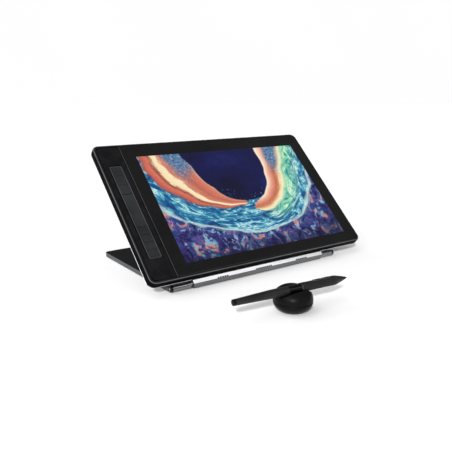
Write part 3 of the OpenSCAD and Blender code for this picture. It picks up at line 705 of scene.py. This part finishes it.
def make_key_tray():
    low, high = span("key_tray")
    rim, soft = 0.7, 0.2
    steps = [(0, low.z), (0, high.z - soft), (soft, high.z), (rim - soft, high.z),
             (rim, high.z - soft), (rim, low.z + 0.5)]
    loops = [inset_loop(low, high, [1.95] * 4, inset, z) for inset, z in steps]
    bm = bmesh.new()
    skin(bm, loops, caps=(True, True))
    piece = add_piece("key_tray_rim", bm, [TRAY], SLOPE)
    finish_piece(piece, "tablet", "key_plastic", "key_tray")


def cap_solid(low, high, radius, edge, dish):
    """Cap with soft edges, whose top sinks a little towards the middle."""
    radii = [radius] * 4
    sides = [(0, low.z)] + arc_steps(high.z - edge, high.z, edge)
    loops = [inset_loop(low, high, radii, inset, z, 6) for inset, z in sides]
    width = min(high.x - low.x, high.y - low.y) / 2
    for share in (0.35, 0.6, 0.85):
        inset = edge + (width - edge) * share * 0.9
        sunk = high.z - dish * math.sin(math.pi / 2 * share)
        loops.append(inset_loop(low, high, radii, inset, sunk, 6))
    bm = bmesh.new()
    skin(bm, loops, caps=(True, True))
    return bm


def add_bar(bm, x, y, z, length, width, height):
    """Low raised bar with round ends, such as a homing mark."""
    low, high = (x - length / 2, y - width / 2), (x + length / 2, y + width / 2)
    radii = [width / 2 * 0.95] * 4
    loops = [rounded_loop(low, high, radii, level, 4) for level in (z, z + height * 0.6)]
    loops.append(inset_loop(low, high, radii, width * 0.25, z + height, 4))
    skin(bm, loops, caps=(True, True))


def make_keys():
    """Seven caps, two of them marked with a bar."""
    for i in range(1, 8):
        node = f"key_{i}"
        low, high = span(node)
        low.z = high.z - 1.2
        bm = cap_solid(low, high, 0.8, 0.35, 0.18)
        middle = (low + high) / 2
        if i in (2, 5):
            add_bar(bm, middle.x, middle.y, high.z - 0.25, 4.2, 0.7, 0.32)
        piece = add_piece(f"key_cap_{i}", bm, [KEYS], SLOPE)
        finish_piece(piece, node, "key_plastic", node)


def make_touch_bar():
    low, high = span("touch_bar")
    bm = cap_solid(low, high, 0.8, 0.3, 0.35)
    middle = (low + high) / 2
    for y in (low.y + 2.4, high.y - 2.4):
        add_bar(bm, middle.x, y, high.z - 0.32, 3.0, 0.6, 0.3)
    piece = add_piece("touch_strip", bm, [TOUCH], SLOPE)
    finish_piece(piece, "tablet", "touch_plastic", "touch_bar")


# ---------------------------------------------------------------- the stand's lip

# Outline of the lip's section in mm: up the slope, then out of it
LIP_FRONT = [(2.2, 7.7), (-3.0, 6.3), (-6.0, -0.3), (-3.4, -2.9)]
LIP_BACK = [(5.2, 2.4), (5.2, 5.4), (12.0, 5.4), (12.0, 6.2), (2.2, 6.2)]
BARREL_R = 4.2


def lip_outline():
    """Lip section in (s, n), split into a front wedge and a round underside with the flange."""
    front = fillet([LIP_BACK[-1]] + LIP_FRONT + [(0.0, 0.0)], 0.4)[1:-1]
    points = [p for p in front if not (p.x > -1 and p.y < 2)]
    s, n = LIP_FRONT[-1]
    start, end, steps = math.degrees(math.atan2(n, s)) + 8, 24, 14
    for i in range(steps + 1):
        a = math.radians(start + (end - start) * i / steps)
        points.append(Vector((BARREL_R * math.cos(a), BARREL_R * math.sin(a))))
    return points + [Vector(p) for p in LIP_BACK]


def make_lip():
    low, high = span("retaining_lip")
    outline = lip_outline()
    slant, slant_from = math.tan(math.radians(35)), -2.6

    def end_loop(x, side):
        return [Vector((x + side * slant * max(0.0, slant_from - p.x), p.x, p.y)) for p in outline]

    bm = bmesh.new()
    skin(bm, [end_loop(low.x, 1), end_loop(high.x, -1)], caps=(True, True))
    bmesh.ops.recalc_face_normals(bm, faces=bm.faces)
    bm.normal_update()
    # Faces that look up, on the land, get the painted highlight; all other faces get the painted
    # shade
    land_end = LIP_FRONT[0][0] + 0.2
    for face in bm.faces:
        level = face.normal.z > 0.8 and abs(face.normal.x) < 0.5
        face.material_index = 0 if level and face.calc_center_median().y < land_end else 1
    piece = add_piece("lip_bar", bm, [LIP_PAINTED_HIGHLIGHT, LIP_PAINTED_SHADE], SLOPE)
    finish_piece(piece, "support", "bright_aluminium", "retaining_lip")


def make_grips():
    """Rubber ribs that stand up through the lip's land, in the groups that the CAD node has."""
    back = SLOPE.inverted()
    xs = sorted((back @ v.co).x / MM for v in frame["nodes"]["lip_grips"].data.vertices)
    low, high = span("lip_grips")
    groups = [[xs[0], xs[0]]]
    space_between = 12
    for x in xs:
        if x - groups[-1][1] > space_between:
            groups.append([x, x])
        groups[-1][1] = x
    pitch, width, depth = 3.6, 2.1, 1.5
    steps = ((0, low.z + 0.1), (0, high.z - 0.3), (0.1, high.z - 0.1), (0.3, high.z))
    bm = bmesh.new()
    for start, end in groups:
        count = int((end - start - 1.6) / pitch)
        for i in range(count + 1):
            x = (start + end) / 2 + (i - count / 2) * pitch
            lo, hi = (x - width / 2, low.y - 0.1), (x + width / 2, low.y + depth)
            loops = [inset_loop(lo, hi, [0.4] * 4, inset, z, 4) for inset, z in steps]
            skin(bm, loops, caps=(True, True))
    piece = add_piece("grip_ribs", bm, [WALL], SLOPE)
    finish_piece(piece, "support", "silicone", "lip_grips")


# ---------------------------------------------------------------- the pen holder

# Local frames with x along the pen: from the foot of the lid's axis, and from the origin
HOLDER_AXIS = Vector(JOINTS["holder_twist"]["pos_m"])
PEN_SIDE = UP.cross(PEN_AXIS)
HOLDER = frame_matrix(PEN_AXIS, PEN_SIDE, UP, Vector((HOLDER_AXIS.x, HOLDER_AXIS.y, 0)))
PEN_TURN = frame_matrix(PEN_AXIS, PEN_SIDE, UP, Vector())

# Rounded edges on both sides of the line where the lid meets the base, as steps of (distance in
# from the wall, distance from the line)
SEAM = 1.0
SEAM_STEPS = [(SEAM * (1 - math.cos(a)), SEAM * (1 - math.sin(a)))
              for a in [math.radians(15 * i) for i in range(1, 7)]]


def make_holder_base():
    low, high = span("holder_base", HOLDER)
    foot = span("holder_foot", HOLDER)[1].y + 0.1
    waist_r, z0, z1 = high.y, low.z, high.z
    drop, bore, inner_foot, foot_deep = 14.5, 7.1, 8.3, 0.5
    seat_r, tray_r, tray_z, well_r, well_z, floor_z = 20.4, 15.6, 9.5, 11.2, 5.2, z0 + 2.2

    def radius(z):
        return waist_r * math.sqrt(1 - ((z1 - z) / drop) ** 2)

    profile = [(z0, bore), (z0, inner_foot), (z0 + foot_deep, inner_foot), (z0 + foot_deep, foot),
               (z0, foot), (z0, radius(z0) - 0.35), (z0 + 0.15, radius(z0 + 0.15))]
    steps = 18
    for i in range(1, steps + 1):
        z = z0 + (z1 - SEAM - z0) * (i / steps) ** 1.3
        profile.append((z, radius(z)))
    edge = radius(z1 - SEAM)
    profile += [(z1 - away, edge - inset) for inset, away in SEAM_STEPS]
    profile += [(z1, seat_r), (tray_z, seat_r), (tray_z, tray_r), (well_z, tray_r),
                (well_z, well_r), (floor_z, well_r), (floor_z, bore)]
    bm = bmesh.new()
    lathe(bm, profile, along="z", turns=96)
    piece = add_piece("holder_shell", bm, [HOLDER_BLACK], HOLDER)
    finish_piece(piece, "holder", "holder_plastic", "holder_base")


def smooth_min(a, b, k):
    """Lower of two heights, blended over a distance k."""
    h = max(k - abs(a - b), 0) / k
    return min(a, b) - h * h * k / 4


def make_holder_lid():
    """Dome with a round groove along x, in which the pen lies."""
    low, high = span("holder_lid", HOLDER)
    pen_low, pen_high = span("pen_barrel", HOLDER)
    waist_z, waist_r = span("holder_base", HOLDER)[1].z + 0.1, high.y
    rise, power = 18.0, 2.6
    groove_y, groove_z, groove_r = (pen_low.y + pen_high.y) / 2, 21.0, 12.5
    collar_x, collar_deep, run = 5.4, 0.45, 1.6
    wear, blend = 3.2, 1.6

    def height(x, y):
        r = min(math.hypot(x, y) / waist_r, 1)
        dome = waist_z + rise * (1 - r ** power) ** (1 / power)
        # The front of the top is worn away a little, so that the pen shows
        dome -= wear * (1 - r) ** 0.5 * min(1, max(0, (groove_y - y) / 12))
        across = abs(y - groove_y)
        if across >= groove_r:
            return dome
        bottom = groove_z - collar_deep * min(1, max(0, (x - collar_x) / run))
        return smooth_min(dome, bottom + groove_r - math.sqrt(groove_r ** 2 - across ** 2), blend)

    turns, rings = 128, 44
    skirt_r = 20.2
    loops = [ring(18.6, 16.5, turns), ring(18.8, low.z, turns), ring(skirt_r, low.z, turns),
             ring(skirt_r, waist_z, turns)]
    for inset, away in reversed(SEAM_STEPS):
        loops.append(ring(waist_r - inset, waist_z + away, turns))
    loops.append(ring(waist_r, waist_z + SEAM, turns))
    for k in range(rings - 1, 0, -1):
        flat = ring(waist_r * math.sin(math.pi / 2 * k / rings), 0, turns)
        loops.append([Vector((p.x, p.y, height(p.x, p.y))) for p in flat])
    bm = bmesh.new()
    skin(bm, loops, caps=(True, False))
    bm.verts.ensure_lookup_table()
    last = bm.verts[-turns:]
    middle = bm.verts.new((0, 0, height(0, 0)))
    for i in range(turns):
        bm.faces.new((last[i], last[(i + 1) % turns], middle))
    piece = add_piece("holder_top", bm, [HOLDER_BLACK], HOLDER, sharp=50)
    finish_piece(piece, "holder_lid", "holder_plastic", "holder_lid")


# ---------------------------------------------------------------- the pen

def pen_matrix():
    """Local frame of the pen: origin at the tail, x towards the nib, z up."""
    tail = span("pen_end_cap", PEN_TURN)[0]
    low, high = span("pen_barrel", PEN_TURN)
    origin = PEN_TURN @ (Vector((tail.x, (low.y + high.y) / 2, (low.z + high.z) / 2)) * MM)
    return frame_matrix(PEN_AXIS, PEN_SIDE, UP, origin)


# Sizes that the pen's parts share, in mm from its tail and from its axis
PEN = pen_matrix()
TAIL_R = 3.75
TAPER_END = 50
GRIP_R = 5.66
NOSE_R = 5.8
CENTRE = 0.0005


def pen_lathe(name, node, material, slot, profile, body="pen", turns=64):
    bm = bmesh.new()
    lathe(bm, profile, turns=turns)
    piece = add_piece(name, bm, [material], PEN)
    if slot:
        finish_piece(piece, body, slot, node)
    return piece


def tube(x0, r0, x1, r1, bore, edge=0.25):
    """Profile of a tapered tube with softened outer ends."""
    return [(x0, bore), (x0, r0 - edge), (x0 + edge * 0.3, r0 - edge * 0.3), (x0 + edge, r0),
            (x1 - edge, r1), (x1 - edge * 0.3, r1 - edge * 0.3), (x1, r1 - edge), (x1, bore)]


def make_pen_tail():
    cap = span("pen_end_cap", PEN)
    start = span("pen_barrel", PEN)[0].x
    dome = [(0.02 + 1.5 * (1 - math.cos(a)), 0.4 + (TAIL_R - 0.45) * math.sin(a))
            for a in [math.radians(90 * i / 8) for i in range(9)]]
    plug = 1.9
    profile = [(0.0, CENTRE)] + dome + [(start - 0.15, TAIL_R), (start, TAIL_R - 0.15),
                                        (start, plug), (cap[1].x, plug), (cap[1].x, CENTRE)]
    pen_lathe("pen_tail", "pen_end_cap", PEN_GLOSS, "pen_gloss", profile)


def make_pen_shaft():
    low, high = span("pen_barrel", PEN)
    start, end, wide, bore = low.x, high.x, high.y - 0.15, 1.95
    taper = []
    for i in range(25):
        share = i / 24
        swell = min(share * (end - start) / (TAPER_END - start), 1)
        taper.append((start + 0.2 + (end - start - 0.4) * share,
                      TAIL_R + (wide - TAIL_R) * swell + 0.15 * share))
    profile = [(start, bore), (start, TAIL_R - 0.15)] + taper + [(end, wide), (end, bore)]
    pen_lathe("pen_shaft", "pen_barrel", PEN_BLACK, "pen_plastic", profile)


def make_pen_rings():
    low, high = span("pen_collar", PEN)
    pen_lathe("pen_band", "pen_collar", PEN_GLOSS, "pen_gloss",
              tube(low.x, high.y - 0.1, high.x, high.y, 3.9, 0.3))
    low, high = span("pen_trim", PEN)
    pen_lathe("pen_ring", "pen_trim", TRIM_RING_AND_GLINT, "dark_steel",
              tube(low.x, high.y, high.x, high.y, 4.2, 0.15))


def rod_loop(low, high, inset, radius, drop, steps=8):
    """Rounded loop laid on a cylinder that runs along x, sunk by a drop."""
    lo, hi = (low[0] + inset, low[1] + inset), (high[0] - inset, high[1] - inset)
    r = min((hi[1] - lo[1]) / 2, (hi[0] - lo[0]) / 2) * 0.98
    flat = rounded_loop(lo, hi, [r] * 4, 0, steps)
    return [Vector((p.x, p.y, math.sqrt(max(radius ** 2 - p.y ** 2, 0)) - drop)) for p in flat]


def make_pen_buttons():
    """Two glossy buttons whose edge is painted light grey, as a painted highlight."""
    # Each ring's inset, and its drop below the round surface
    edge = [(0, 0.7), (0.04, 0.42), (0.14, 0.2), (0.3, 0.07), (0.5, 0.0)]
    dish = [(1.0, 0.05), (1.5, 0.12)]
    for name in ("rear", "front"):
        node = f"pen_button_{name}"
        low, high = span(node, PEN)
        loops = [rounded_loop(low, high, [(high.y - low.y) / 2 * 0.98] * 4, low.z, 8)]
        loops += [rod_loop(low, high, inset, high.z, drop) for inset, drop in edge + dish]
        bm = bmesh.new()
        # The edge rings take the grey ring metal as a painted highlight; the dish stays glossy
        # black
        skin(bm, loops, caps=(True, True), materials=[1] * len(edge) + [0] * (len(dish) + 1))
        piece = add_piece(f"pen_switch_{name}", bm, [PEN_GLOSS, TRIM_RING_AND_GLINT], PEN)
        finish_piece(piece, node, "pen_gloss", node)


def cut_away(piece, cutter):
    """Takes a closed shape out of a piece's mesh, and removes the shape."""
    cut = piece.modifiers.new("cut", "BOOLEAN")
    cut.operation = "DIFFERENCE"
    cut.solver = "EXACT"
    cut.object = cutter
    piece.modifiers.move(len(piece.modifiers) - 1, 0)
    bpy.context.view_layer.update()
    graph = bpy.context.evaluated_depsgraph_get()
    normals = piece.modifiers["normals"]
    normals.show_viewport = False
    bpy.context.view_layer.update()
    result = bpy.data.meshes.new_from_object(piece.evaluated_get(graph))
    piece.modifiers.remove(piece.modifiers["cut"])
    piece.data = result
    normals.show_viewport = True
    bpy.data.objects.remove(cutter)
    piece.data.set_sharp_from_angle(angle=math.radians(38))


def make_pen_grip():
    low, high = span("pen_grip", PEN)
    x0, x1, bore = low.x, high.x, 4.2
    profile = [(x0, bore), (x0, GRIP_R - 0.21), (x0 + 0.1, GRIP_R - 0.08), (x0 + 0.35, GRIP_R)]
    for i in range(1, 24):
        t = i / 24
        waist = 0.17 * math.sin(math.pi * min(t / 0.95, 1))
        profile.append((x0 + (x1 - x0) * t, GRIP_R - waist + 0.14 * t ** 3))
    profile += [(x1 - 0.2, NOSE_R), (x1, NOSE_R - 0.1), (x1, bore)]
    piece = pen_lathe("pen_grip_sleeve", "pen_grip", PEN_GRIP, None, profile, turns=96)

    # Window for the two side buttons
    low, high = grown(span("pen_button_rear", PEN)[0], span("pen_button_front", PEN)[1], 0.35)
    radii = [(high[1] - low[1]) / 2 * 0.98] * 4
    bm = bmesh.new()
    skin(bm, [rounded_loop(low, high, radii, z, 8) for z in (1.0, 9.0)], caps=(True, True))
    cut_away(piece, add_piece("window", bm, [], PEN, weighted=False))
    finish_piece(piece, "pen", "pen_grip_rubber", "pen_grip")


def make_pen_nose():
    low, high = span("pen_nose", PEN)
    x0, x1 = low.x, high.x
    lead, fall = 0.2, 0.42
    shoulder, shoulder_r, end_r = x0 + 4.2, NOSE_R - fall, 1.45
    bore, nib_bore = 2.7, 1.15
    profile = [(x0, bore), (x0, NOSE_R - lead), (x0 + lead, NOSE_R)]
    shares = [i / 8 for i in range(1, 9)]
    for t in shares:
        profile.append((x0 + lead + (shoulder - x0 - lead) * t, NOSE_R - fall * t ** 2.2))
    for t in shares:
        bulge = 0.14 * math.sin(math.pi * t)
        profile.append((shoulder + (x1 - shoulder) * t,
                        shoulder_r + (end_r - shoulder_r) * t + bulge))
    profile += [(x1, 1.4), (x1, nib_bore), (x0 + 9, nib_bore), (x0 + 8, bore)]
    pen_lathe("pen_nose_cone", "pen_nose", PEN_BLACK, "pen_plastic", profile)


def make_pen_nib():
    low, high = span("pen_nib", PEN)
    tip, mouth, rod = high.x, span("pen_nose", PEN)[1].x, 0.78
    point = [(tip - 0.9 + 0.9 * math.sin(a), 0.62 * math.cos(a) + 0.001)
             for a in [math.radians(90 * i / 6) for i in range(7)]]
    profile = [(low.x, CENTRE), (low.x, rod), (mouth, 0.8), (mouth + 0.05, 0.98),
               (tip - 1.4, rod)] + point
    pen_lathe("pen_nib_tip", "pen_nib", NIB, "nib_plastic", profile, body="pen_nib", turns=32)


# ---------------------------------------------------------------- room, camera, lights

ROOM_R = 9.0
WORLD = 0.22

# Soft lights: name, direction that it comes from, strength, width in degrees
LIGHTS = (
    ("front_light", (-0.60, -0.624, 0.501), 2.9, 4.5),
    ("top_light", (-0.50, 0.30, 0.81), 1.2, 80),
    ("lip_light", (0.53, -0.70, 0.48), 0.22, 18),
    ("left_light", (-0.85, -0.15, 0.50), 0.35, 40),
    ("back_light", (-0.35, 0.80, 0.48), 0.6, 30),
)


def add_stage(name, bm, material):
    mesh = bpy.data.meshes.new(name)
    bm.to_mesh(mesh)
    bm.free()
    mesh.materials.append(material)
    thing = bpy.data.objects.new(name, mesh)
    bpy.context.scene.collection.objects.link(thing)
    return thing


def make_floor():
    g = Graph("floor_white")
    cloud = g.noise(g.place(), 1.5, detail=2)
    g.set(base=g.ramp(cloud, ((0.3, (246, 246, 246)), (0.7, (250, 250, 250)))), level=0.1)
    g.set(rough=g.remap(cloud, 0.3, 0.7, 0.7, 0.8))
    bm = bmesh.new()
    bmesh.ops.create_circle(bm, cap_ends=True, segments=96, radius=ROOM_R)
    add_stage("floor", bm, g.material).location.z = -0.0001


def make_surround():
    """White surround that only the camera sees, so that the gloss on the object stays deep."""
    g = Graph("surround_white")
    cloud = g.noise(g.place(), 0.5, detail=2)
    g.set(base=(0, 0, 0, 1), level=0.0, glow_strength=1.0,
          glow=g.ramp(cloud, ((0.3, (254, 254, 254)), (0.7, (255, 255, 255)))))
    bm = bmesh.new()
    bmesh.ops.create_icosphere(bm, subdivisions=4, radius=ROOM_R * 0.98)
    surround = add_stage("surround", bm, g.material)
    for ray in ("diffuse", "glossy", "transmission", "shadow", "volume_scatter"):
        setattr(surround, "visible_" + ray, False)


def make_world():
    world = bpy.data.worlds.new("studio")
    bpy.context.scene.world = world
    world.use_nodes = True
    sky = world.node_tree.nodes["Background"]
    sky.inputs["Color"].default_value = (1, 1, 1, 1)
    sky.inputs["Strength"].default_value = WORLD
    bpy.context.scene.view_settings.view_transform = "Standard"
    bpy.context.scene.view_settings.look = "None"


def make_lights():
    for name, direction, strength, width in LIGHTS:
        light = bpy.data.lights.new(name, "SUN")
        light.energy = strength
        light.angle = math.radians(width)
        lamp = bpy.data.objects.new(name, light)
        bpy.context.scene.collection.objects.link(lamp)
        lamp.rotation_euler = Vector(direction).to_track_quat("Z", "Y").to_euler()


# Camera that shows the object as the photograph does: where it stands, and the way back to it
VIEW_FROM = (-0.4829, -0.60445, 0.2491)
VIEW_BACK = (-0.564, -0.791, 0.237)


def make_camera():
    camera = bpy.data.cameras.new("camera")
    camera.lens = 44.99
    camera.sensor_width = 36
    camera.clip_start = 0.02
    view = bpy.data.objects.new("camera", camera)
    bpy.context.scene.collection.objects.link(view)
    view.location = VIEW_FROM
    view.rotation_euler = Vector(VIEW_BACK).to_track_quat("Z", "Y").to_euler()
    bpy.context.scene.camera = view


make_camera()
make_floor()
make_surround()
make_world()
make_lights()
dress_kept_nodes()
make_bezel()
make_trim()
make_glass()
make_key_panel()
make_key_tray()
make_keys()
make_touch_bar()
make_barrel_caps()
make_lip()
make_grips()
make_holder_base()
make_holder_lid()
make_pen_tail()
make_pen_shaft()
make_pen_rings()
make_pen_grip()
make_pen_buttons()
make_pen_nose()
make_pen_nib()
